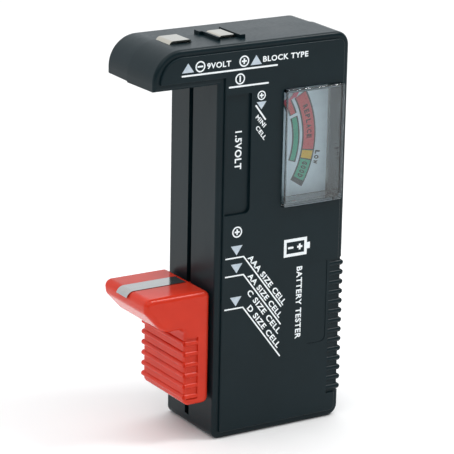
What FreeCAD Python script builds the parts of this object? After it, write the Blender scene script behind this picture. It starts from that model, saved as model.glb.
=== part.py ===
import FreeCAD, Part
import math
import os

# Analogue battery tester. Millimetres, +Z up. Everything is drawn from the housing's left side
# (x = 0), its front face (y = 0) and its base (z = 0); export moves the origin to the middle of
# the base.

# overall sizes
body_width = 41.2
body_depth = 25.8
body_height = 110.0
arm_reach = 19.6
split_y = 14.5
wall = 1.9
gap = 0.3

# outline of the housing
arm_thick = 10.7
tip_radius = 8.5
top_radius = 4.0
low_radius = 3.2
heel_radius = 2.2
edge_round = 1.0
face_step = 0.7
face_inset = 1.9
draft = 0.1
split_step = 0.2

# grip ribs on the housing's right side
grip_pitch = 2.78
grip_radius = 0.75
grip_wide = 4.6

# the slot and the slider that runs in it
slot_width = 2.4
slot_low = 3.1
slider_front = 2.2
slider_back = body_depth - 0.3
slider_low = 10.5
jaw_top = 42.5
jaw_reach = 20.6
jaw_thick = 10.0
stem_thick = 7.9
rib_count = 6
rib_pitch = 3.05
rib_radius = 0.75
nose_end = -4.0
slider_round = 1.5
tip_round = 2.0

# sheet metal
sheet = 0.4
strip_width = 5.6
strip_turn = -2.9
strip_proud = 0.1

# shallow marks on the front
recess_left = 2.2
recess_right = 10.0
panel_left = body_width - 11.6
panel_right = body_width - 5.6
panel_low = 22.9

# meter
case_left = wall + gap
pivot_x = case_left + 5.8
pivot_z = body_height - 29.2
dial_y = wall + 4.1
case_back = dial_y + 6.2
case_low = body_height - 47.8
case_tall = 36.0
window_low = case_low + 1.4
window_tall = 32.4
window_left = 20.2
window_wide = 18.7
cover_proud = 1.2
cover_wall = 0.9
core_radius = 2.5
coil_radius = 3.6
ring_radius = 4.8
shaft_radius = 0.35
needle_reach = 23.5
needle_rest = 33.5

# block battery contacts on the top
block_minus = (-11.0, 6.6)
block_plus = (3.9, 5.4)
block_front = 7.6
block_deep = 7.0
guide_front = 5.8
guide_back = 16.6
guide_thick = 0.7
guide_rise = 0.9
block_rise = 0.75

# blank label in a shallow bed on the back
label_left = 17.0
label_right = 35.0
label_low = 26.0
label_high = body_height - 24.0

# terminal board and screws
board_low = 14.0
board_tall = 0.54 * (case_low - board_low)
board_y = body_depth - 7.8
screw_radius = 1.0
head_radius = 1.9
boss_radius = 2.7
lead_radius = 0.6

arm_under = body_height - arm_thick
arm_tail = -2.4
slot_high = arm_under
bus_x = wall + 2 * gap + 2.0
panel_high = window_low - 17.1
grip_high = window_low - 18.7
grip_count = int((grip_high - 7.0) / grip_pitch) + 1
screw_places = [(body_width - 6.2, 8.4), (12.2, case_low - 7.6),
                (body_width - 11.2, body_height - 6.4)]


def box(x0, x1, y0, y1, z0, z1):
    return Part.makeBox(x1 - x0, y1 - y0, z1 - z0, FreeCAD.Vector(x0, y0, z0))


def rod(radius, x, z, y0, y1):
    return Part.makeCylinder(radius, y1 - y0, FreeCAD.Vector(x, y0, z), FreeCAD.Vector(0, 1, 0))


def tube(outer, inner, x, z, y0, y1):
    return rod(outer, x, z, y0, y1).cut(rod(inner, x, z, y0 - 1, y1 + 1))


def rounded_wire(corners, y):
    """A closed wire in the plane y through (x, z, radius) corners."""
    arcs = {}
    starts = []
    ends = []
    for i, (x, z, radius) in enumerate(corners):
        corner = FreeCAD.Vector(x, y, z)
        before = corners[i - 1]
        after = corners[(i + 1) % len(corners)]
        a = (FreeCAD.Vector(before[0], y, before[1]) - corner).normalize()
        b = (FreeCAD.Vector(after[0], y, after[1]) - corner).normalize()
        if radius <= 0:
            starts.append(corner)
            ends.append(corner)
            continue
        half = a.getAngle(b) / 2
        start = corner + a * (radius / math.tan(half))
        end = corner + b * (radius / math.tan(half))
        middle = corner + (a + b).normalize() * (radius / math.sin(half) - radius)
        arcs[i] = Part.Arc(start, middle, end).toShape()
        starts.append(start)
        ends.append(end)
    loop = []
    for i in range(len(corners)):
        if i in arcs:
            loop.append(arcs[i])
        after = starts[(i + 1) % len(corners)]
        if (after - ends[i]).Length > 1e-6:
            loop.append(Part.makeLine(ends[i], after))
    return Part.Wire(loop)


def prism(corners, y0, y1):
    face = Part.Face(rounded_wire(corners, y0))
    return face.extrude(FreeCAD.Vector(0, y1 - y0, 0))


def outline_corners(inset, base):
    """Corners of the housing outline, drawn in from the full size by inset; base is its lowest z."""
    left, right = inset, body_width - inset
    high, under = body_height - inset, arm_under + inset
    tip = min(tip_radius - inset, arm_thick - 2 * inset - 0.3)
    return [(left, base, max(heel_radius - inset, 0.4)), (right, base, max(low_radius - inset, 0.6)),
            (right, high, max(top_radius - inset, 0.6)), (inset - arm_reach, high, tip),
            (inset - arm_reach, under, 0.2), (left, under, 0)]


def outline_solid(near, near_y, far, far_y):
    """The housing outline lofted between two planes, each inset by its own amount, base kept flat."""
    return Part.makeLoft([rounded_wire(outline_corners(near, 0.0), near_y),
                          rounded_wire(outline_corners(far, 0.0), far_y)], True, True)


def cavity(y0, y1):
    return prism(outline_corners(wall, wall), y0, y1)


def edges_at(shape, y):
    return [e for e in shape.Edges
            if all(abs(v.Point.y - y) < 1e-4 for v in e.Vertexes) and abs(e.BoundBox.YLength) < 1e-3]


def slot_cut():
    return box(-1, wall + 1, split_y - slot_width / 2, split_y + slot_width / 2, slot_low, slot_high)


def contact_slots():
    """Openings in the top for the block contacts and in the arm's floor for its own contact."""
    cuts = []
    for left, wide in (block_minus, block_plus):
        for x in (left, left + wide - sheet):
            cuts.append(box(x - 0.2, x + sheet + 0.4, block_front - 0.2, block_front + block_deep + 0.2,
                            body_height - wall - 1, body_height + 1))
    half = strip_width / 2 - 1.0
    cuts.append(box(arm_tail - 0.2, arm_tail + sheet + 0.2, split_y - half, split_y + half,
                    arm_under - 1, arm_under + wall + 1))
    return Part.makeCompound(cuts)


def add_grip(shell):
    """Round ribs that wrap from the right side onto the front face, standing in a shallow channel."""
    low = grip_high - (grip_count - 1) * grip_pitch - 2 * grip_radius
    high = grip_high + 2 * grip_radius
    side = body_width - draft
    back = split_y - 1.2
    shell = shell.cut(box(side - grip_radius, side + 1, -1, back, low, high))
    shell = shell.cut(box(side - grip_wide, side + 1, -1, 0.5, low, high))
    ribs = []
    for i in range(grip_count):
        z = grip_high - i * grip_pitch
        ribs.append(rod(grip_radius, side - grip_radius, z, 0.35, back + 0.1))
        ribs.append(Part.makeCylinder(grip_radius, grip_wide - 0.45, FreeCAD.Vector(side - grip_wide, 0.8, z),
                                      FreeCAD.Vector(1, 0, 0)))
    return shell.fuse(ribs)


def front_shell():
    rim = face_step + 2.4
    shoulder = prism(outline_corners(draft, 0.0), face_step, rim)
    shoulder = shoulder.makeFillet(edge_round, edges_at(shoulder, face_step))
    plateau = prism(outline_corners(face_inset, face_inset), 0.0, rim)
    plateau = plateau.makeFillet(0.3, edges_at(plateau, 0.0))
    shell = outline_solid(draft, rim, 0.0, split_y).fuse(shoulder).fuse(plateau)
    shell = shell.cut(cavity(wall, split_y + 1))
    for x, z in screw_places:
        shell = shell.fuse(rod(boss_radius, x, z, wall - 0.5, split_y - 0.2))
        shell = shell.cut(rod(screw_radius - 0.1, x, z, wall + 1.0, split_y + 1))
    shell = shell.cut(slot_cut())
    shell = shell.cut(contact_slots())
    recess_low, recess_high = window_low - 0.2, window_low + window_tall + 0.4
    shell = shell.cut(prism([(recess_left, recess_low, 0), (recess_right, recess_low, 1.6),
                             (recess_right, recess_high, 0.3), (recess_left, recess_high, 0.3)], -1, 0.8))
    shell = shell.cut(box(window_left - 0.1, window_left + window_wide + 0.1, -1, dial_y + 0.4,
                          window_low - 0.1, window_low + window_tall + 0.1))
    panel = [(panel_left, panel_low, 0.4), (panel_right, panel_low, 1.8),
             (panel_right, panel_high, 0.4), (panel_left, panel_high, 0.4)]
    shell = shell.cut(prism(panel, -1, 0.15))
    for z in (case_low + 2.4, case_low + case_tall - 2.4):
        shell = shell.fuse(rod(1.2, pivot_x + 8.0, z, wall - 0.5, dial_y))
    shell = shell.fuse(block_guides(0, split_y))
    return add_grip(shell)


def rear_shell():
    back = body_depth
    rim = back - 2.4
    shoulder = prism(outline_corners(split_step + draft, 0.0), rim, back)
    shoulder = shoulder.makeFillet(edge_round, edges_at(shoulder, back))
    shell = outline_solid(split_step, split_y, split_step + draft, rim).fuse(shoulder)
    shell = shell.cut(cavity(split_y - 1, back - wall))
    for x, z in screw_places:
        shell = shell.fuse(rod(boss_radius, x, z, split_y + 0.05, back - wall + 0.5))
        shell = shell.cut(rod(screw_radius + 0.2, x, z, split_y - 1, back + 1))
        shell = shell.cut(rod(head_radius + 0.3, x, z, back - 3.4, back + 1))
    shell = shell.cut(slot_cut())
    shell = shell.cut(contact_slots())
    shell = shell.cut(label_plate(0.0))
    for x, z in board_pins():
        shell = shell.fuse(rod(1.8, x, z, board_y + 1.2, back - wall + 0.5))
        shell = shell.fuse(rod(0.7, x, z, board_y - 0.5, back - wall))
    for z in (case_low + 5, case_low + case_tall - 5):
        shell = shell.fuse(rod(1.6, 26.0, z, case_back, back - wall + 0.5))
    for z in (slot_low + 3.5, slot_high + 3.0):
        shell = shell.fuse(box(6.3, 8.3, split_y - 1.2, back - wall + 0.5, z - 1.0, z + 1.0))
    return shell.fuse(block_guides(split_y + 0.05, back))


def board_pins():
    return [(13.0, board_low + 3), (29.0, board_low + board_tall - 3)]


def label_plate(clearance):
    left, right = label_left + clearance, label_right - clearance
    low, high = label_low + clearance, label_high - clearance
    return prism([(left, low, 1.5), (right, low, 1.5), (right, high, 1.5), (left, high, 1.5)],
                 body_depth - 0.2, body_depth + (0.0 if clearance else 1.0))


def slider():
    right = -gap
    under = jaw_top - jaw_thick
    tip = -jaw_reach
    profile = [(right, slider_low, 1.8), (right, jaw_top, 1.8), (tip, jaw_top, tip_round),
               (tip + 0.5, jaw_top - 3.8, 2.4), (tip + 6.0, under, 5.0), (-stem_thick, under, 1.8),
               (-stem_thick, slider_low, 1.8)]
    body = prism(profile, slider_front, slider_back)
    ends = edges_at(body, slider_front) + edges_at(body, slider_back)
    body = body.makeFillet(slider_round, ends)
    first = under - 4.1
    last = first - (rib_count - 1) * rib_pitch
    body = body.cut(box(-stem_thick - 1, nose_end, slider_front - 1, slider_front + 0.5,
                        last - rib_radius, first + rib_radius + 0.9))
    ribs = []
    for i in range(rib_count):
        z = first - i * rib_pitch
        ribs.append(rod(rib_radius, -stem_thick + 0.15, z, slider_front + 0.6, slider_back - 0.5))
        ribs.append(Part.makeCylinder(rib_radius, nose_end + stem_thick + 0.1,
                                      FreeCAD.Vector(-stem_thick, slider_front + rib_radius, z),
                                      FreeCAD.Vector(1, 0, 0)))
    body = body.fuse(ribs)
    half = slot_width / 2 - gap
    neck = box(right - 1.0, wall + 2 * gap, split_y - half, split_y + half, slider_low + 1.2, jaw_top - 1.5)
    foot = box(wall + gap, wall + gap + 1.6, case_back + gap, split_y + 3.0, slider_low + 3.2, jaw_top - 5.0)
    body = body.fuse(neck).fuse(foot)
    for y in (split_y - 4.3, split_y + 4.3):
        body = body.cut(Part.makeCylinder(0.7, 2.0, FreeCAD.Vector(right - 0.8, y, jaw_top - 0.9)))
    half = strip_width / 2 + 0.3
    body = body.cut(box(strip_turn - 15.9, strip_turn + 1.2, split_y - half, split_y + half,
                        jaw_top - 0.5, jaw_top + 1))
    return body.cut(jaw_strip(0.05))


def jaw_strip(room):
    """The bent strip on the jaw: curled over the tip, flat on top, down through the neck, wiper inside."""
    y0, y1 = split_y - strip_width / 2 - room, split_y + strip_width / 2 + room
    curl_x, curl_z = tip_round - jaw_reach, jaw_top + strip_proud - tip_round - sheet
    turn = strip_turn
    high = jaw_top + strip_proud
    top = box(curl_x, turn + sheet, y0, y1, high - sheet - room, high)
    curl = tube(tip_round + sheet, tip_round - room, curl_x, curl_z, y0, y1)
    curl = curl.common(prism([(curl_x, curl_z, 0), (curl_x, curl_z + 4, 0), (curl_x - 7, curl_z + 4, 0),
                              (curl_x - 7, curl_z + 2.2, 0)], y0, y1))
    drop = box(turn - room, turn + sheet + room, y0, y1, jaw_top - 3.2 - room, jaw_top)
    half = slot_width / 2 - gap - 0.4
    reach = wall + gap + 2.0
    bridge = box(turn - room, reach, split_y - half - room, split_y + half + room,
                 jaw_top - 3.2 - room, jaw_top - 2.8 + room)
    wiper = box(reach - sheet, reach, split_y - half - room, split_y + half + room,
                jaw_top - 12.0, jaw_top - 2.8 + room)
    return top.fuse([curl, drop, bridge, wiper])


def jaw_contact():
    return jaw_strip(0.0).removeSplitter()


def bus_strip():
    """Rail the wiper rubs along, bent back at both ends onto the rear shell's stands."""
    low, high = slot_low + 2.0, slot_high + 4.0
    strip = box(bus_x, bus_x + sheet, split_y - 1.4, split_y + 1.4, low, high)
    for z in (slot_low + 3.5, slot_high + 3.0):
        strip = strip.fuse(box(bus_x, 6.3, split_y - 1.2, split_y + 1.4, z - 1.1, z + 1.1))
    return strip.removeSplitter()


def arm_contact():
    """Negative strip under the arm with its tail up through the arm's floor."""
    y0, y1 = split_y - strip_width / 2, split_y + strip_width / 2
    left = -arm_reach + 3.0
    strip = box(left, arm_tail + sheet, y0, y1, arm_under - sheet, arm_under)
    bump = rod(8.0, -11.0, arm_under + 6.9, y0, y1)
    bump = bump.common(box(left, arm_tail, y0, y1, arm_under - 2, arm_under - sheet))
    riser = box(arm_tail, arm_tail + sheet, y0 + 1.2, y1 - 1.2, arm_under - sheet, arm_under + wall + 3.8)
    return strip.fuse(bump).fuse(riser).removeSplitter()


def block_contact(place):
    """Strip bridging the top with both ends bent down into the housing, the right one longer."""
    left, wide = place
    y0, y1 = block_front, block_front + block_deep
    top = body_height + block_rise
    floor = body_height - wall
    bend = 1.3
    outer = prism([(left, floor - 1.0, 0), (left + wide, floor - 1.0, 0), (left + wide, top, sheet + 0.1),
                   (left, top, bend)], y0, y1)
    inner = prism([(left + sheet, floor - 2.0, 0), (left + wide - sheet, floor - 2.0, 0),
                   (left + wide - sheet, top - sheet, 0.1), (left + sheet, top - sheet, bend - sheet)],
                  y0 - 1, y1 + 1)
    tail = box(left + wide - sheet, left + wide, y0, y1, floor - 3.6, floor)
    return outer.cut(inner).fuse(tail).removeSplitter()


def block_guides(y0, y1):
    """Thin ribs either side of the positive contact, between two depths."""
    z0, z1 = body_height - 0.6, body_height + guide_rise
    left = block_plus[0] - 0.4 - guide_thick
    right = block_plus[0] + block_plus[1] + 0.3
    pieces = [box(left, left + guide_thick, guide_front, guide_back, z0, z1),
              box(left - 0.9, left, guide_back - 2.6, guide_back, z0, z1),
              box(right, right + guide_thick, guide_front, guide_back, z0, z1),
              box(right + guide_thick, right + guide_thick + 0.9, guide_front, guide_front + 1.6, z0, z1)]
    guides = pieces[0].multiFuse(pieces[1:])
    return guides.common(box(-50, 50, y0, y1, z0 - 1, z1 + 1)).removeSplitter()


def meter_cover():
    x1 = window_left + window_wide
    z1 = window_low + window_tall
    outer = box(window_left, x1, -cover_proud, dial_y - 0.05, window_low, z1)
    long_edges = [e for e in outer.Edges if e.BoundBox.YLength > 1]
    outer = outer.makeFillet(0.7, long_edges)
    outer = outer.makeFillet(0.35, edges_at(outer, -cover_proud))
    w = cover_wall
    inner = box(window_left + w, x1 - w, -cover_proud + w, dial_y + 1, window_low + w, z1 - w)
    needle_way = box(window_left - 1, window_left + w + 1, dial_y - 2.4, dial_y + 1, window_low + w, z1 - w)
    return outer.cut(inner).cut(needle_way)


def dial_plate():
    right = body_width - 2.6
    return box(13.4, right, dial_y, dial_y + 0.4, case_low + 1.2, case_low + case_tall - 1.2)


def meter_case():
    left, right = case_left, body_width - wall - gap
    high = case_low + case_tall
    outer = prism([(left, case_low, 0.8), (right, case_low, 0.8), (right, high, 0.8), (left, high, 0.8)],
                  dial_y + 0.5, case_back)
    inner = box(left + 0.8, right - 0.8, dial_y - 1, case_back - 1.0, case_low + 0.8, high - 0.8)
    case = outer.cut(inner)
    for x in (15.0, right - 2.4):
        for z in (case_low + 2.4, high - 2.4):
            case = case.fuse(rod(1.4, x, z, dial_y + 0.4, case_back - 0.5))
    case = case.cut(rod(bearing_radius(), pivot_x, pivot_z, dial_y, case_back + 1))
    for x in terminal_places():
        case = case.cut(rod(0.95, x, case_low + 6.0, dial_y, case_back + 1))
    return case


def terminal_places():
    return [18.0, 33.0]


def bearing_radius():
    return 0.8


def core_magnet():
    y0, y1 = dial_y + 1.6, dial_y + 4.2
    core = tube(core_radius, 0.8, pivot_x, pivot_z, y0, y1)
    for turn in (90, 270):
        angle = math.radians(turn)
        x = pivot_x + 1.95 * math.cos(angle)
        z = pivot_z + 1.95 * math.sin(angle)
        core = core.fuse(rod(0.45, x, z, y0, case_back - 1.0))
    return core


def yoke_ring():
    return tube(ring_radius, ring_radius - 0.8, pivot_x, pivot_z, dial_y + 1.3, case_back - 1.0)


def front_bridge():
    """Bar over the coil that carries the front bearing, on two feet standing on the ring."""
    y0 = wall + 0.5
    z0, z1 = pivot_z - ring_radius, pivot_z + ring_radius
    bar = box(pivot_x - 1.4, pivot_x + 1.4, y0, y0 + 0.7, z0, z1)
    for z in (z0, z1 - 0.8):
        bar = bar.fuse(box(pivot_x - 1.4, pivot_x + 1.4, y0, dial_y + 1.3, z, z + 0.8))
    return bar.cut(rod(bearing_radius(), pivot_x, pivot_z, y0 - 1, y0 + 2)).removeSplitter()


def pivot_bearings():
    """Two bushes, one in the bridge and one in the case floor."""
    y0 = wall + 0.3
    hole = shaft_radius + 0.03
    front = rod(bearing_radius(), pivot_x, pivot_z, y0, y0 + 1.2)
    front = front.cut(rod(hole, pivot_x, pivot_z, y0 + 0.3, y0 + 2))
    rear = rod(bearing_radius(), pivot_x, pivot_z, case_back - 1.1, case_back + 0.1)
    rear = rear.cut(rod(hole, pivot_x, pivot_z, case_back - 2, case_back - 0.2))
    return Part.makeCompound([front, rear])


def pivot_shaft():
    return rod(shaft_radius, pivot_x, pivot_z, wall + 0.7, case_back - 0.3)


def swing(shape):
    shape.rotate(FreeCAD.Vector(pivot_x, 0, pivot_z), FreeCAD.Vector(0, 1, 0), -needle_rest)
    return shape


def coil_former():
    """Thin frame round the core, fixed to the shaft by its two cross bars."""
    inner = coil_radius - 0.65
    y0, y1 = dial_y + 0.9, dial_y + 4.75
    bars = []
    for y in (y0, y1 - 0.35):
        bars.append(box(pivot_x - inner - 0.2, pivot_x + inner + 0.2, y, y + 0.35,
                        pivot_z - 0.6, pivot_z + 0.6))
    for side in (-1, 1):
        x = pivot_x + side * (inner + 0.1)
        bars.append(box(x - 0.1, x + 0.1, y0, y1, pivot_z - 0.6, pivot_z + 0.6))
    frame = bars[0].multiFuse(bars[1:]).removeSplitter()
    frame = frame.cut(rod(shaft_radius, pivot_x, pivot_z, y0 - 1, y1 + 1))
    return swing(frame)


def coil_winding():
    inner = coil_radius - 0.45
    y0, y1 = dial_y + 1.35, dial_y + 4.3
    sides = []
    for side in (-1, 1):
        x = pivot_x + side * (inner + 0.17)
        sides.append(box(x - 0.17, x + 0.17, y0, y1, pivot_z - 0.6, pivot_z + 0.6))
    return swing(Part.makeCompound(sides))


def needle():
    """Pointer blade with a balanced tail, on a hub pressed on the shaft."""
    y0, y1 = dial_y - 1.5, dial_y - 1.1
    hub = tube(1.0, shaft_radius, pivot_x, pivot_z, y0 - 0.3, y1 + 0.3)
    blade = [(pivot_x + 0.6, pivot_z - 0.45, 0), (pivot_x + needle_reach - 2.2, pivot_z - 0.3, 0),
             (pivot_x + needle_reach - 1.6, pivot_z - 0.75, 0), (pivot_x + needle_reach, pivot_z, 0),
             (pivot_x + needle_reach - 1.6, pivot_z + 0.75, 0),
             (pivot_x + needle_reach - 2.2, pivot_z + 0.3, 0), (pivot_x + 0.6, pivot_z + 0.45, 0)]
    arm = prism(blade, y0, y1)
    tail = box(pivot_x - 4.6, pivot_x - 0.6, y0, y1, pivot_z - 0.4, pivot_z + 0.4)
    weight = box(pivot_x - 5.0, pivot_x - 3.0, y0 - 1.2, y1 + 0.8, pivot_z - 2.05, pivot_z + 2.05)
    return swing(hub.fuse(arm).fuse(tail).fuse(weight).removeSplitter())


def hairspring():
    """Flat spiral between the needle's hub and the front bridge."""
    y0, y1 = wall + 1.8, wall + 2.15
    points = []
    turns, steps = 3.0, 60
    start, grow, thick = 0.55, 0.42, 0.12
    for i in range(steps + 1):
        angle = 2 * math.pi * turns * i / steps
        radius = start + grow * angle / (2 * math.pi)
        points.append((radius, angle))
    inner = [FreeCAD.Vector(pivot_x + r * math.cos(a), y0, pivot_z + r * math.sin(a)) for r, a in points]
    outer = [FreeCAD.Vector(pivot_x + (r + thick) * math.cos(a), y0, pivot_z + (r + thick) * math.sin(a))
             for r, a in points]
    inside, outside = Part.BSplineCurve(), Part.BSplineCurve()
    inside.interpolate(inner)
    outside.interpolate(outer)
    wire = Part.Wire([inside.toShape(), Part.makeLine(inner[-1], outer[-1]),
                      outside.toShape(), Part.makeLine(outer[0], inner[0])])
    spiral = Part.Face(wire).extrude(FreeCAD.Vector(0, y1 - y0, 0))
    collet = tube(0.7, shaft_radius, pivot_x, pivot_z, y0, y1)
    return spiral.fuse(collet)


def meter_terminals():
    studs = []
    for x in terminal_places():
        z = case_low + 6.0
        stud = rod(0.9, x, z, case_back - 1.4, case_back + 2.6)
        studs.append(stud.fuse(rod(1.7, x, z, case_back, case_back + 0.8)))
    return Part.makeCompound(studs)


def circuit_board():
    board = prism([(10.0, board_low, 1.0), (32.0, board_low, 1.0), (32.0, board_low + board_tall, 1.0),
                   (10.0, board_low + board_tall, 1.0)], board_y, board_y + 1.2)
    for x, z in board_pins():
        board = board.cut(rod(0.75, x, z, board_y - 1, board_y + 2))
    return board


def resistor_places():
    return [(15.5, board_low + 8.0), (21.0, board_low + 8.0)]


def resistor_bodies():
    bodies = []
    for x, z in resistor_places():
        body = Part.makeCylinder(1.3, 6.4, FreeCAD.Vector(x, board_y - 1.6, z), FreeCAD.Vector(0, 0, 1))
        bodies.append(body.makeFillet(0.5, body.Edges[:1] + body.Edges[2:]))
    return Part.makeCompound(bodies)


def resistor_leads():
    leads = []
    for x, z in resistor_places():
        for end, way in ((z, -1), (z + 6.4, 1)):
            turn = end + way * 1.6
            leads.append(bent_wire([(x, board_y - 1.6, end), (x, board_y - 1.6, turn),
                                    (x, board_y, turn)], 0.3))
    return Part.makeCompound(leads)


def bent_wire(points, radius):
    spots = [FreeCAD.Vector(*p) for p in points]
    wire = None
    for a, b in zip(spots, spots[1:]):
        piece = Part.makeCylinder(radius, (b - a).Length, a, b - a)
        wire = piece if wire is None else wire.fuse(piece)
    for joint in spots[1:-1]:
        wire = wire.fuse(Part.makeSphere(radius, joint))
    return wire


def lead_common():
    """From the negative block contact, past the arm contact's tail, to the meter."""
    x = terminal_places()[0]
    y = split_y
    z = body_height - 5.2
    return bent_wire([(block_minus[0] + block_minus[1] + 0.6, block_front + 4.0, z + 0.6),
                      (arm_tail + 1.2, block_front + 4.0, z + 0.6),
                      (arm_tail + sheet + lead_radius, y, z - 0.8),
                      (12.0, y + 3.0, z + 0.4), (x - 2.0, y + 3.0, z - 5.0), (x, y + 2.0, case_low + 10.0),
                      (x, case_back + 3.2, case_low + 6.0)], lead_radius)


def lead_block():
    """From the positive block contact down to the board."""
    z = body_height - 4.6
    y = block_front + 4.0
    return bent_wire([(block_plus[0] + block_plus[1] + 0.6, y, z), (22.6, y + 2.6, z - 4.0),
                      (23.0, y + 2.6, case_low - 2.0), (23.0, y + 5.0, board_low + board_tall + 4.0),
                      (25.5, board_y - lead_radius, board_low + board_tall - 6.0)], lead_radius)


def lead_cell():
    """From the foot of the bus strip to the board."""
    return bent_wire([(bus_x + sheet + 0.5, split_y, slot_low + 5.2), (9.5, split_y + 1.0, slot_low + 6.8),
                      (11.6, board_y - lead_radius, board_low + 7.0)], lead_radius)


def lead_meter():
    """From the board to the meter's positive terminal."""
    x = terminal_places()[1]
    return bent_wire([(29.0, board_y - lead_radius, board_low + 8.0), (x, board_y - 1.5, board_low + 16.0),
                      (x + 1.5, case_back + 3.2, case_low - 6.0), (x, case_back + 3.2, case_low + 6.0)],
                     lead_radius)


def case_screws():
    screws = []
    for x, z in screw_places:
        head_y = body_depth - 3.4
        head = rod(head_radius, x, z, head_y, head_y + 1.5)
        screw = rod(screw_radius - 0.1, x, z, 5.0, head_y + 0.2).fuse(head)
        for turn in (0, 90):
            slot = box(x - 0.25, x + 0.25, head_y + 0.6, head_y + 2, z - 1.2, z + 1.2)
            slot.rotate(FreeCAD.Vector(x, 0, z), FreeCAD.Vector(0, 1, 0), turn)
            screw = screw.cut(slot)
        screws.append(screw)
    return Part.makeCompound(screws)


def export(parts):
    os.makedirs("parts", exist_ok=True)
    shift = FreeCAD.Vector(-body_width / 2, -body_depth / 2, 0)
    for name, shape in parts.items():
        moved = shape.copy()
        moved.translate(shift)
        moved.exportStep("parts/" + name + ".step")


def build():
    parts = {
        "front_shell": front_shell(),
        "rear_shell": rear_shell(),
        "slider": slider(),
        "jaw_contact": jaw_contact(),
        "bus_strip": bus_strip(),
        "arm_contact": arm_contact(),
        "block_contact_minus": block_contact(block_minus),
        "block_contact_plus": block_contact(block_plus),
        "meter_cover": meter_cover(),
        "meter_case": meter_case(),
        "dial_plate": dial_plate(),
        "core_magnet": core_magnet(),
        "yoke_ring": yoke_ring(),
        "front_bridge": front_bridge(),
        "pivot_bearings": pivot_bearings(),
        "pivot_shaft": pivot_shaft(),
        "coil_former": coil_former(),
        "coil_winding": coil_winding(),
        "needle": needle(),
        "hairspring": hairspring(),
        "meter_terminals": meter_terminals(),
        "circuit_board": circuit_board(),
        "resistor_bodies": resistor_bodies(),
        "resistor_leads": resistor_leads(),
        "lead_common": lead_common(),
        "lead_block": lead_block(),
        "lead_cell": lead_cell(),
        "lead_meter": lead_meter(),
        "case_screws": case_screws(),
        "rear_label": label_plate(0.1),
    }
    export(parts)


build()
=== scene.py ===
import bpy
import bmesh
import math
from mathutils import Matrix, Vector


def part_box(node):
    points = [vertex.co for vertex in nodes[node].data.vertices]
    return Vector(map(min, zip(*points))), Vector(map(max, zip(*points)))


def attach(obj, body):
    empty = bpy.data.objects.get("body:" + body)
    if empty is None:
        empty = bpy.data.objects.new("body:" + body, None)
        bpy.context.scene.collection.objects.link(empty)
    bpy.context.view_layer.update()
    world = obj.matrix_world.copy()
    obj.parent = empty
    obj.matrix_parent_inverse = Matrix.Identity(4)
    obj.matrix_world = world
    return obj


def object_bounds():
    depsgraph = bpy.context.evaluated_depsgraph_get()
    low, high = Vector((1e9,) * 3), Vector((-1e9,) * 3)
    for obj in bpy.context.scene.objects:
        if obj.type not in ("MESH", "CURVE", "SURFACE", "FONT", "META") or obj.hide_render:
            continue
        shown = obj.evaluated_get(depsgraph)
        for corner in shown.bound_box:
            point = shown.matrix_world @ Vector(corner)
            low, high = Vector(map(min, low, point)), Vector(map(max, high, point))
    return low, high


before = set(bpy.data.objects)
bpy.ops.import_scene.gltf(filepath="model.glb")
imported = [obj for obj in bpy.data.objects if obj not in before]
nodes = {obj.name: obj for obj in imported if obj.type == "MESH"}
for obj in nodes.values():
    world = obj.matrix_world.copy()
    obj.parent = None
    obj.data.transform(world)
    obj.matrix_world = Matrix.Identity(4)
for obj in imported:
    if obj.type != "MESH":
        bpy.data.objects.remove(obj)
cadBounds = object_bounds()
mm = 0.001

print("tester: frame loaded,", len(nodes), "parts")


# small helpers for node trees

def startMaterial(name, metallic=0.0):
    material = bpy.data.materials.new(name)
    material.use_nodes = True
    tree = material.node_tree
    shader = tree.nodes["Principled BSDF"]
    shader.inputs["Metallic"].default_value = metallic
    return material, tree, shader


def addNode(tree, kind, **values):
    node = tree.nodes.new(kind)
    for key, value in values.items():
        setattr(node, key, value)
    return node


def objectSpot(tree, stretch=(1, 1, 1)):
    spot = addNode(tree, "ShaderNodeTexCoord")
    mapping = addNode(tree, "ShaderNodeMapping")
    mapping.inputs["Scale"].default_value = stretch
    tree.links.new(spot.outputs["Object"], mapping.inputs["Vector"])
    return mapping.outputs["Vector"]


def noiseOn(tree, spot, scale, detail=3.0, roughness=0.5):
    noise = addNode(tree, "ShaderNodeTexNoise")
    noise.inputs["Scale"].default_value = scale
    noise.inputs["Detail"].default_value = detail
    noise.inputs["Roughness"].default_value = roughness
    tree.links.new(spot, noise.inputs["Vector"])
    return noise.outputs["Fac"]


def rampOf(tree, value, stops):
    ramp = addNode(tree, "ShaderNodeValToRGB")
    points = ramp.color_ramp.elements
    while len(points) < len(stops):
        points.new(0.5)
    for point, (place, colour) in zip(points, stops):
        point.position = place
        point.color = (*colour, 1.0)
    tree.links.new(value, ramp.inputs["Fac"])
    return ramp.outputs["Color"]


def rangeOf(tree, value, low, high, fromLow=0.3, fromHigh=0.7):
    spread = addNode(tree, "ShaderNodeMapRange")
    spread.inputs["From Min"].default_value = fromLow
    spread.inputs["From Max"].default_value = fromHigh
    spread.inputs["To Min"].default_value = low
    spread.inputs["To Max"].default_value = high
    tree.links.new(value, spread.inputs["Value"])
    return spread.outputs["Result"]


def bumpFrom(tree, shader, heights):
    # heights: (value, strength, distance in metres) from coarse to fine
    last = None
    for value, strength, distance in heights:
        bump = addNode(tree, "ShaderNodeBump")
        bump.inputs["Strength"].default_value = strength
        bump.inputs["Distance"].default_value = distance
        tree.links.new(value, bump.inputs["Height"])
        if last:
            tree.links.new(last, bump.inputs["Normal"])
        last = bump.outputs["Normal"]
    tree.links.new(last, shader.inputs["Normal"])


def paint(node, material):
    nodes[node].data.materials.clear()
    nodes[node].data.materials.append(material)


# materials

housingLook = {"dark": (0.0032, 0.0115, 0.0150), "light": (0.0052, 0.0155, 0.0200), "shine": 0.17,
               "roughLow": 0.28, "roughHigh": 0.38, "grain": 5200.0, "mottle": 60.0}


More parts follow.
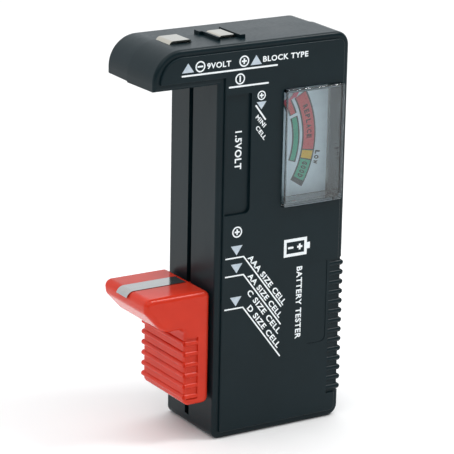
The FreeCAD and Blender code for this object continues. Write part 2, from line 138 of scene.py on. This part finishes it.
def mouldedBlack(name, look):
    # black moulded plastic with a fine spark-eroded grain and faint handling marks
    material, tree, shader = startMaterial(name)
    spot = objectSpot(tree)
    mottle = noiseOn(tree, spot, look["mottle"], 5.0, 0.6)
    grain = noiseOn(tree, spot, look["grain"], 2.0, 0.55)
    tree.links.new(rampOf(tree, mottle, [(0.3, look["dark"]), (0.72, look["light"])]),
                   shader.inputs["Base Color"])
    rubbed = noiseOn(tree, objectSpot(tree, (1.0, 1.0, 0.12)), 900.0, 4.0, 0.7)
    mix = addNode(tree, "ShaderNodeMath", operation="MULTIPLY")
    tree.links.new(mottle, mix.inputs[0])
    tree.links.new(rubbed, mix.inputs[1])
    tree.links.new(rangeOf(tree, mix.outputs[0], look["roughLow"], look["roughHigh"], 0.12, 0.42),
                   shader.inputs["Roughness"])
    shader.inputs["Specular IOR Level"].default_value = look["shine"]
    bumpFrom(tree, shader, [(mottle, 0.05, 0.0006), (grain, 0.16, 0.00005)])
    return material


sliderLook = {"deep": (0.60, 0.034, 0.015), "bright": (0.68, 0.045, 0.020), "shine": 0.17,
              "roughLow": 0.12, "roughHigh": 0.22}


def glossyRed(name, look):
    # glossy red moulding: slow colour drift, soft sink marks and hairline scuffs
    material, tree, shader = startMaterial(name)
    spot = objectSpot(tree)
    drift = noiseOn(tree, spot, 90.0, 3.0, 0.5)
    tree.links.new(rampOf(tree, drift, [(0.3, look["deep"]), (0.7, look["bright"])]),
                   shader.inputs["Base Color"])
    scuff = noiseOn(tree, objectSpot(tree, (1.0, 0.08, 1.0)), 2600.0, 4.0, 0.7)
    tree.links.new(rangeOf(tree, scuff, look["roughLow"], look["roughHigh"], 0.35, 0.75),
                   shader.inputs["Roughness"])
    shader.inputs["Subsurface Weight"].default_value = 0.08
    shader.inputs["Subsurface Radius"].default_value = (0.0020, 0.0006, 0.0004)
    shader.inputs["Subsurface Scale"].default_value = 1.0
    shader.inputs["Specular IOR Level"].default_value = look["shine"]
    bumpFrom(tree, shader, [(drift, 0.10, 0.0010), (scuff, 0.05, 0.00002)])
    return material


def platedSteel(name, colour, roughLow, roughHigh):
    # plated spring strip: faint rolling lines and a few dull fingerprints
    material, tree, shader = startMaterial(name, metallic=1.0)
    lines = noiseOn(tree, objectSpot(tree, (0.03, 1.0, 1.0)), 5200.0, 2.0, 0.5)
    prints = noiseOn(tree, objectSpot(tree), 170.0, 3.0, 0.5)
    dull = tuple(c * 0.93 for c in colour)
    tree.links.new(rampOf(tree, prints, [(0.35, dull), (0.65, colour)]), shader.inputs["Base Color"])
    tree.links.new(rangeOf(tree, prints, roughLow, roughHigh), shader.inputs["Roughness"])
    bumpFrom(tree, shader, [(prints, 0.02, 0.0002), (lines, 0.03, 0.00001)])
    return material


coverLook = {"tint": (0.90, 0.98, 1.0), "smearLow": 0.01, "smearHigh": 0.06}


def clearStyrene(name, look):
    # clear moulded window with faint smears
    material, tree, shader = startMaterial(name)
    shader.inputs["Base Color"].default_value = (*look["tint"], 1.0)
    shader.inputs["Transmission Weight"].default_value = 1.0
    shader.inputs["IOR"].default_value = 1.49
    smear = noiseOn(tree, objectSpot(tree), 180.0, 4.0, 0.65)
    tree.links.new(rangeOf(tree, smear, look["smearLow"], look["smearHigh"], 0.35, 0.8),
                   shader.inputs["Roughness"])
    bumpFrom(tree, shader, [(smear, 0.03, 0.0003)])
    return material


def plainFinish(name, dark, light, roughLow, roughHigh, scale, metallic=0.0, grain=0.08, stretch=(1, 1, 1)):
    # general worked finish: two tones of one colour, uneven sheen, fine grain
    material, tree, shader = startMaterial(name, metallic=metallic)
    spot = objectSpot(tree, stretch)
    tone = noiseOn(tree, spot, scale, 4.0, 0.6)
    fine = noiseOn(tree, spot, scale * 14.0, 2.0, 0.5)
    tree.links.new(rampOf(tree, tone, [(0.32, dark), (0.70, light)]), shader.inputs["Base Color"])
    tree.links.new(rangeOf(tree, fine, roughLow, roughHigh), shader.inputs["Roughness"])
    bumpFrom(tree, shader, [(tone, grain * 0.4, 0.0002), (fine, grain, 0.00003)])
    return material


blackPlastic = mouldedBlack("blackPlastic", housingLook)
redPlastic = glossyRed("redPlastic", sliderLook)
nickelStrip = platedSteel("nickelStrip", (0.465, 0.465, 0.455), 0.08, 0.16)
warmStrip = platedSteel("warmStrip", (0.54, 0.51, 0.445), 0.06, 0.13)
clearWindow = clearStyrene("clearWindow", coverLook)
plainLooks = {   # dark tone, light tone, roughness low and high, pattern scale, then what differs
    "dialCard": ((0.72, 0.79, 0.86), (0.80, 0.87, 0.93), 0.34, 0.46, 300.0, {"grain": 0.05}),
    "caseWhite": ((0.62, 0.66, 0.68), (0.74, 0.77, 0.79), 0.30, 0.45, 200.0, {}),
    "inkWhite": ((0.86, 0.93, 0.96), (0.96, 0.99, 1.00), 0.40, 0.60, 900.0, {"grain": 0.15}),
    "inkBlue": ((0.46, 0.55, 0.63), (0.60, 0.68, 0.75), 0.40, 0.60, 900.0, {"grain": 0.15}),
    "inkRed": ((0.66, 0.080, 0.095), (0.76, 0.105, 0.12), 0.42, 0.58, 900.0, {}),
    "inkYellow": ((0.86, 0.50, 0.030), (0.94, 0.60, 0.050), 0.42, 0.58, 900.0, {}),
    "inkGreen": ((0.030, 0.380, 0.230), (0.050, 0.460, 0.290), 0.42, 0.58, 900.0, {}),
    "inkGrey": ((0.020, 0.032, 0.038), (0.035, 0.050, 0.056), 0.45, 0.60, 900.0, {}),
    "inkDark": ((0.002, 0.004, 0.005), (0.006, 0.009, 0.010), 0.50, 0.65, 900.0, {}),
    "needlePaint": ((0.66, 0.07, 0.13), (0.80, 0.13, 0.20), 0.30, 0.45, 700.0, {}),
    "brass": ((0.60, 0.42, 0.16), (0.78, 0.58, 0.26), 0.18, 0.36, 500.0, {"metallic": 1.0}),
    "steel": ((0.40, 0.41, 0.42), (0.58, 0.58, 0.58), 0.22, 0.42, 600.0, {"metallic": 1.0}),
    "darkMagnet": ((0.05, 0.05, 0.055), (0.11, 0.11, 0.115), 0.45, 0.65, 500.0, {"metallic": 0.6}),
    "aluminium": ((0.62, 0.63, 0.65), (0.78, 0.79, 0.80), 0.25, 0.40, 600.0, {"metallic": 1.0}),
    "copperWire": ((0.42, 0.14, 0.06), (0.66, 0.27, 0.12), 0.25, 0.45, 800.0,
                   {"metallic": 1.0, "stretch": (1.0, 0.05, 1.0)}),
    "boardLaminate": ((0.24, 0.13, 0.05), (0.36, 0.21, 0.09), 0.40, 0.60, 400.0, {}),
    "resistorBody": ((0.50, 0.37, 0.20), (0.68, 0.53, 0.32), 0.30, 0.45, 500.0, {}),
    "leadBlack": ((0.010, 0.010, 0.011), (0.030, 0.030, 0.032), 0.35, 0.50, 500.0, {}),
    "leadRed": ((0.36, 0.015, 0.012), (0.52, 0.035, 0.025), 0.35, 0.50, 500.0, {}),
    "labelStock": ((0.34, 0.36, 0.38), (0.44, 0.46, 0.48), 0.28, 0.42, 160.0,
                   {"metallic": 0.2, "stretch": (0.08, 1.0, 1.0)}),
}
plain = {name: plainFinish(name, *values, **extra) for name, (*values, extra) in plainLooks.items()}

finishes = {"front_shell": blackPlastic, "rear_shell": blackPlastic, "slider": redPlastic,
            "jaw_contact": nickelStrip, "bus_strip": nickelStrip, "arm_contact": nickelStrip,
            "block_contact_minus": warmStrip, "block_contact_plus": warmStrip,
            "meter_cover": clearWindow, "meter_case": plain["caseWhite"], "dial_plate": plain["dialCard"],
            "core_magnet": plain["darkMagnet"], "yoke_ring": plain["steel"], "front_bridge": plain["brass"],
            "pivot_bearings": plain["brass"], "pivot_shaft": plain["steel"],
            "coil_former": plain["aluminium"], "coil_winding": plain["copperWire"],
            "needle": plain["needlePaint"], "hairspring": plain["brass"],
            "meter_terminals": plain["brass"], "circuit_board": plain["boardLaminate"],
            "resistor_bodies": plain["resistorBody"], "resistor_leads": plain["steel"],
            "lead_common": plain["leadBlack"], "lead_block": plain["leadRed"],
            "lead_cell": plain["leadRed"], "lead_meter": plain["leadRed"],
            "case_screws": plain["steel"], "rear_label": plain["labelStock"]}
for node, material in finishes.items():
    paint(node, material)

print("tester: finishes on")


# flat printed shapes

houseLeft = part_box("meter_cover")[0].x - 0.0202      # the housing's left side
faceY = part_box("meter_cover")[0].y + 0.0012           # the raised front face
recessY = faceY + 0.0008                              # the floor of the long recess
inkThick = 0.00003
inkSink = 0.00002                                    # how far print reaches into the plastic


def addPlate(mesh, outline, back, front):
    # a closed thin slab; outline is (x, z) in millimetres, back and front are y in metres
    low = [mesh.verts.new((x * mm, back, z * mm)) for x, z in outline]
    high = [mesh.verts.new((x * mm, front, z * mm)) for x, z in outline]
    mesh.faces.new(low)
    mesh.faces.new(list(reversed(high)))
    count = len(outline)
    for i in range(count):
        j = (i + 1) % count
        mesh.faces.new((low[j], low[i], high[i], high[j]))


def finishPiece(name, mesh, material):
    bmesh.ops.translate(mesh, verts=mesh.verts, vec=(houseLeft, 0, 0))
    bmesh.ops.recalc_face_normals(mesh, faces=mesh.faces)
    data = bpy.data.meshes.new(name)
    mesh.to_mesh(data)
    mesh.free()
    piece = bpy.data.objects.new(name, data)
    bpy.context.scene.collection.objects.link(piece)
    data.materials.append(material)
    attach(piece, "housing")


def strokeOutline(start, end, width):
    # a straight stroke with softly rounded ends
    a, b = Vector(start), Vector(end)
    way = (b - a).normalized()
    side = Vector((-way.y, way.x)) * width / 2
    points = []
    for centre, sign in ((b, 1), (a, -1)):
        for step in range(7):
            turn = math.radians(-90 + 30 * step)
            points.append(centre + sign * (way * math.cos(turn) * width * 0.3 + side * math.sin(turn)))
    return [(p.x, p.y) for p in points]


def addRing(mesh, centre, outer, stroke, back, front, steps=40):
    cx, cz = centre
    rings = []
    for y in (back, front):
        for radius in (outer - stroke, outer):
            rings.append([mesh.verts.new(((cx + radius * math.cos(2 * math.pi * i / steps)) * mm, y,
                                          (cz + radius * math.sin(2 * math.pi * i / steps)) * mm))
                          for i in range(steps)])
    innerBack, outerBack, innerFront, outerFront = rings
    for i in range(steps):
        j = (i + 1) % steps
        mesh.faces.new((innerBack[i], innerBack[j], outerBack[j], outerBack[i]))
        mesh.faces.new((innerFront[j], innerFront[i], outerFront[i], outerFront[j]))
        mesh.faces.new((outerBack[i], outerBack[j], outerFront[j], outerFront[i]))
        mesh.faces.new((innerBack[j], innerBack[i], innerFront[i], innerFront[j]))


def addSign(mesh, centre, reach, stroke, mark, back, front):
    # mark is plus, minus or bar; a plus is one outline of twelve corners
    x, z = centre
    h = stroke / 2
    if mark == "minus":
        addPlate(mesh, strokeOutline((x - reach, z), (x + reach, z), stroke), back, front)
    if mark == "bar":
        addPlate(mesh, strokeOutline((x, z - reach), (x, z + reach), stroke), back, front)
    if mark == "plus":
        addPlate(mesh, [(x - reach, z - h), (x - h, z - h), (x - h, z - reach), (x + h, z - reach),
                        (x + h, z - h), (x + reach, z - h), (x + reach, z + h), (x + h, z + h),
                        (x + h, z + reach), (x - h, z + reach), (x - h, z + h), (x - reach, z + h)],
                 back, front)


def wordMesh(word, bold):
    # the word as a thin solid, its lower left corner at the origin and its box scaled to 1 by 1
    curve = bpy.data.curves.new("wordCurve", "FONT")
    curve.body = word
    curve.size = 1.0
    curve.offset = bold
    curve.space_character = 1.12
    curve.extrude = 0.01
    curve.resolution_u = 4
    holder = bpy.data.objects.new("wordHolder", curve)
    bpy.context.scene.collection.objects.link(holder)
    bpy.context.view_layer.update()
    data = bpy.data.meshes.new_from_object(holder.evaluated_get(bpy.context.evaluated_depsgraph_get()))
    bpy.data.objects.remove(holder)
    bpy.data.curves.remove(curve)
    xs = [v.co.x for v in data.vertices]
    ys = [v.co.y for v in data.vertices]
    zs = [v.co.z for v in data.vertices]
    data.transform(Matrix.Translation((-min(xs), -min(ys), -min(zs))))
    data.transform(Matrix.Diagonal((1 / (max(xs) - min(xs)), 1 / (max(ys) - min(ys)),
                                    1 / (max(zs) - min(zs)), 1.0)))
    return data


def addWord(mesh, word, corner, turn, wide, tall, back, front, bold=0.028):
    # corner is the lower left of the first letter, turn in degrees, sizes in millimetres
    data = wordMesh(word, bold)
    angle = math.radians(turn)
    right = Vector((math.cos(angle), 0, math.sin(angle))) * wide * mm
    up = Vector((-math.sin(angle), 0, math.cos(angle))) * tall * mm
    out = Vector((0, front - back, 0))
    place = Matrix.Identity(4)
    for column, vector in enumerate((right, up, out)):
        for line in range(3):
            place[line][column] = vector[line]
    place.translation = Vector((corner[0] * mm, back, corner[1] * mm))
    data.transform(place)
    mesh.from_mesh(data)
    bpy.data.meshes.remove(data)


# the white legend on the front

legend = {   # millimetres from the housing's left side and from its base
    "stroke": 0.46,
    "lines": [((-11.5, 103.1), (17.7, 103.1)), ((2.9, 98.57), (15.0, 98.57)),
              ((11.3, 92.75), (14.35, 88.65))],
    "stops": [((2.7, 51.43), (8.45, 51.43), (20.85, 35.25)), ((2.7, 46.35), (8.5, 46.35), (20.82, 30.2)),
              ((2.7, 37.08), (8.5, 37.08), (20.85, 20.95))],
    "circles": [((-6.03, 105.18), 1.5, "minus"), ((7.36, 105.21), 1.52, "plus"), ((6.2, 100.56), 1.5, "bar"),
                ((13.0, 95.36), 1.28, "plus"), ((6.25, 58.58), 1.55, "plus")],
    "trianglesUp": [(-9.73, 103.92, 3.6, 2.5), (11.08, 103.88, 3.5, 2.6)],
    "trianglesDown": [(6.2, 54.75, 3.65, 2.65), (6.27, 49.65, 3.6, 2.6), (6.22, 40.33, 3.6, 2.6),
                      (13.02, 93.65, 3.05, 2.05)],
    "words": [("9VOLT", (-4.0, 104.25), 0, 7.3, 1.6), ("BLOCK TYPE", (13.2, 104.35), 0, 14.2, 1.55),
              ("MINI", (11.15, 89.45), -48.5, 4.05, 1.22), ("CELL", (11.2, 86.6), -52.5, 4.55, 1.22),
              ("AAA SIZE CELL", (9.65, 50.75), -52.6, 19.2, 1.65),
              ("AA SIZE CELL", (9.75, 45.6), -52.6, 17.1, 1.6),
              ("C SIZE CELL", (9.6, 40.9), -52.6, 16.9, 1.65),
              ("D SIZE CELL", (9.75, 36.45), -52.4, 16.5, 1.65),
              ("BATTERY TESTER", (25.6, 45.9), -90, 20.8, 1.85)],
    "recessWords": [("1.5VOLT", (5.5, 86.2), -90, 10.5, 2.1)],
    "cell": {"centre": (25.5, 51.6), "wide": 8.4, "tall": 5.0, "stroke": 0.85},
}


def buildLegend(look):
    white = bmesh.new()
    blue = bmesh.new()
    back, front = faceY + inkSink, faceY - inkThick
    for start, end in look["lines"]:
        addPlate(white, strokeOutline(start, end, look["stroke"]), back, front)
    for start, corner, end in look["stops"]:
        width = look["stroke"] * 0.85
        down = (Vector(end) - Vector(corner)).normalized()
        half = width / 2
        elbow = half * (1 - down.x) / -down.y
        addPlate(white, [(start[0], start[1] - half), (corner[0] - elbow, start[1] - half),
                         (end[0] + down.y * half, end[1] - down.x * half),
                         (end[0] - down.y * half, end[1] + down.x * half),
                         (corner[0] + elbow, start[1] + half), (start[0], start[1] + half)], back, front)
    for centre, radius, mark in look["circles"]:
        stroke = radius * 0.25
        reach = radius * 0.50
        addRing(white, centre, radius, stroke, back, front)
        addSign(white, centre, reach, stroke * 1.2, mark, back, front)
    for x, z, wide, tall in look["trianglesUp"]:
        addPlate(blue, [(x - wide / 2, z), (x + wide / 2, z), (x, z + tall)], back, front)
    for x, z, wide, tall in look["trianglesDown"]:
        addPlate(blue, [(x - wide / 2, z), (x, z - tall), (x + wide / 2, z)], back, front)
    for word, corner, turn, wide, tall in look["words"]:
        addWord(white, word, corner, turn, wide, tall, back, front)
    for word, corner, turn, wide, tall in look["recessWords"]:
        addWord(white, word, corner, turn, wide, tall, recessY + inkSink, recessY - inkThick)
    finishPiece("legendWhite", white, plain["inkWhite"])
    finishPiece("legendBlue", blue, plain["inkBlue"])


def buildCellMark(look):
    # a plain outline of a cell with its plus and minus, lying on its side
    mark = bmesh.new()
    back, front = faceY + inkSink, faceY - inkThick
    cx, cz = look["centre"]
    stroke = look["stroke"]
    left, right = cx - look["wide"] / 2, cx + look["wide"] / 2 - 1.0
    low, high = cz - look["tall"] / 2, cz + look["tall"] / 2
    addPlate(mark, [(left, low), (right, low), (right, low + stroke), (left, low + stroke)], back, front)
    addPlate(mark, [(left, high - stroke), (right, high - stroke), (right, high), (left, high)], back, front)
    addPlate(mark, [(left, low + stroke), (left + stroke, low + stroke), (left + stroke, high - stroke),
                    (left, high - stroke)], back, front)
    addPlate(mark, [(right - stroke, low + stroke), (right, low + stroke), (right, high - stroke),
                    (right - stroke, high - stroke)], back, front)
    addPlate(mark, [(right, cz - 0.9), (right + 1.0, cz - 0.9), (right + 1.0, cz + 0.9), (right, cz + 0.9)],
             back, front)
    addSign(mark, (left + 2.2, cz), 0.72, stroke * 0.7, "minus", back, front)
    addSign(mark, (right - 2.3, cz), 0.85, stroke * 0.7, "plus", back, front)
    finishPiece("cellMark", mark, plain["inkWhite"])


buildLegend(legend)
buildCellMark(legend["cell"])
print("tester: legend printed")


# printing on the dial

dial = {
    "pivot": (8.0, 80.8), "layer": 0.00004,       # pivot from the housing's left side and base
    "outline": (21.95, 26.25, 29.4, -32.6),
    "bands": [("inkRed", 22.4, 25.8, 29.0, -9.1), ("inkYellow", 22.4, 25.8, -9.9, -15.3),
              ("inkGreen", 22.4, 25.8, -16.0, -29.2)],
    "innerOutlines": [(18.7, 21.05, 31.0, 18.9), (18.7, 21.05, 16.4, -19.5)],
    "innerBands": [("inkRed", 19.15, 20.6, 30.4, 19.4), ("inkGreen", 19.15, 20.6, 15.9, -18.7)],
    "words": [("REPLACE", 23.35, 1.55, 21.6, -2.2, 0.035), ("GOOD", 23.25, 1.75, -17.0, -28.4, 0.055),
              ("LOW", 26.7, 1.45, -9.2, -17.8, 0.050)],     # word, radius, height, from, to, boldness
}


def addArc(mesh, pivot, inner, outer, start, end, back, front):
    # quads strip by strip, so a long arc stays a clean solid
    steps = max(6, int(abs(start - end) / 2.0))
    rows = []
    for i in range(steps + 1):
        turn = math.radians(start + (end - start) * i / steps)
        rows.append([mesh.verts.new(((pivot[0] + r * math.cos(turn)) * mm, y,
                                     (pivot[1] + r * math.sin(turn)) * mm))
                     for r, y in ((inner, back), (outer, back), (outer, front), (inner, front))])
    for one, two in zip(rows, rows[1:]):
        for i in range(4):
            j = (i + 1) % 4
            mesh.faces.new((one[i], one[j], two[j], two[i]))
    mesh.faces.new(list(reversed(rows[0])))
    mesh.faces.new(rows[-1])


def buildDialPrint(look):
    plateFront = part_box("dial_plate")[0].y
    layer = look["layer"]
    grey = bmesh.new()
    dark = bmesh.new()
    arcs = [look["outline"]] + look["innerOutlines"]
    for inner, outer, start, end in arcs:
        addArc(grey, look["pivot"], inner, outer, start, end, plateFront + 0.00001, plateFront - layer)
    for word, radius, tall, start, end, bold in look["words"]:
        each = (end - start) / len(word)
        for i, letter in enumerate(word):
            turn = math.radians(start + each * i + each * 0.12)
            corner = (look["pivot"][0] + radius * math.cos(turn), look["pivot"][1] + radius * math.sin(turn))
            wide = abs(math.radians(each)) * radius * 0.74
            middle = start + each * (i + 0.5) - 90
            addWord(dark, letter, corner, middle, wide, tall,
                    plateFront - layer * 1.9, plateFront - layer * 3, bold)
    finishPiece("dialWords", dark, plain["inkDark"])
    finishPiece("dialOutlines", grey, plain["inkGrey"])
    for name in ("inkRed", "inkYellow", "inkGreen"):
        colour = bmesh.new()
        for ink, inner, outer, start, end in look["bands"] + look["innerBands"]:
            if ink == name:
                addArc(colour, look["pivot"], inner, outer, start, end, plateFront - layer * 0.9,
                       plateFront - layer * 2)
        finishPiece("dial" + name[3:], colour, plain[name])


buildDialPrint(dial)
print("tester: dial printed")


# camera, floor and light

view = {"place": (-0.35735, -0.55807, 0.25649), "turn": (73.0283, -1.0705, -31.6068), "lens": 200.37}


def placeCamera(look):
    data = bpy.data.cameras.new("testerCamera")
    data.lens = look["lens"]
    data.sensor_width = 36.0
    data.clip_start = 0.01
    camera = bpy.data.objects.new("testerCamera", data)
    camera.location = look["place"]
    camera.rotation_euler = [math.radians(t) for t in look["turn"]]
    bpy.context.scene.collection.objects.link(camera)
    bpy.context.scene.camera = camera


studio = {"floorTone": (0.93, 0.93, 0.93), "skyBack": (0.98, 1.03, 1.07), "skyFront": (0.16, 0.165, 0.17),
          "overhead": (1.10, 1.10, 1.10), "topBox": ((-0.10, 0.05, 0.80), 0.7, 1.2),
          "sideBox": ((-0.45, -0.60, 0.75), 0.30, 0.6), "keyBox": ((0.42, -0.24, 0.72), 0.19, 2.2)}


def buildStudio(look):
    mesh = bmesh.new()
    bmesh.ops.create_grid(mesh, x_segments=1, y_segments=1, size=4.0)
    data = bpy.data.meshes.new("studioFloor")
    mesh.to_mesh(data)
    mesh.free()
    floor = bpy.data.objects.new("studioFloor", data)
    bpy.context.scene.collection.objects.link(floor)
    tone = look["floorTone"]
    data.materials.append(plainFinish("paperFloor", tuple(t * 0.985 for t in tone), tone, 0.75, 0.9, 6.0,
                                      grain=0.0))
    floor.location.z = cadBounds[0][2] - 0.00002
    for name in ("topBox", "sideBox", "keyBox"):
        place, size, power = look[name]
        lamp = bpy.data.lights.new(name, "AREA")
        lamp.shape = "SQUARE"
        lamp.size = size
        lamp.energy = power
        holder = bpy.data.objects.new(name, lamp)
        holder.location = place
        aim = Vector((0, 0, 0.06)) - Vector(place)
        holder.rotation_euler = aim.to_track_quat("-Z", "Y").to_euler()
        bpy.context.scene.collection.objects.link(holder)
    world = bpy.data.worlds.new("softRoom")
    world.use_nodes = True
    tree = world.node_tree
    spot = addNode(tree, "ShaderNodeTexCoord")
    split = addNode(tree, "ShaderNodeSeparateXYZ")
    tree.links.new(spot.outputs["Generated"], split.inputs["Vector"])
    level = rampOf(tree, rangeOf(tree, split.outputs["Y"], 0.0, 1.0, -0.5, 0.5),
                   [(0.0, look["skyFront"]), (1.0, look["skyBack"])])
    mix = addNode(tree, "ShaderNodeMix", data_type="RGBA")
    tree.links.new(rangeOf(tree, split.outputs["Z"], 0.0, 1.0, 0.30, 0.75), mix.inputs[0])
    tree.links.new(level, mix.inputs[6])
    mix.inputs[7].default_value = (*look["overhead"], 1.0)
    tree.links.new(mix.outputs[2], tree.nodes["Background"].inputs["Color"])
    bpy.context.scene.world = world
    bpy.context.scene.view_settings.view_transform = "Standard"


placeCamera(view)
buildStudio(studio)
print("tester: studio ready")
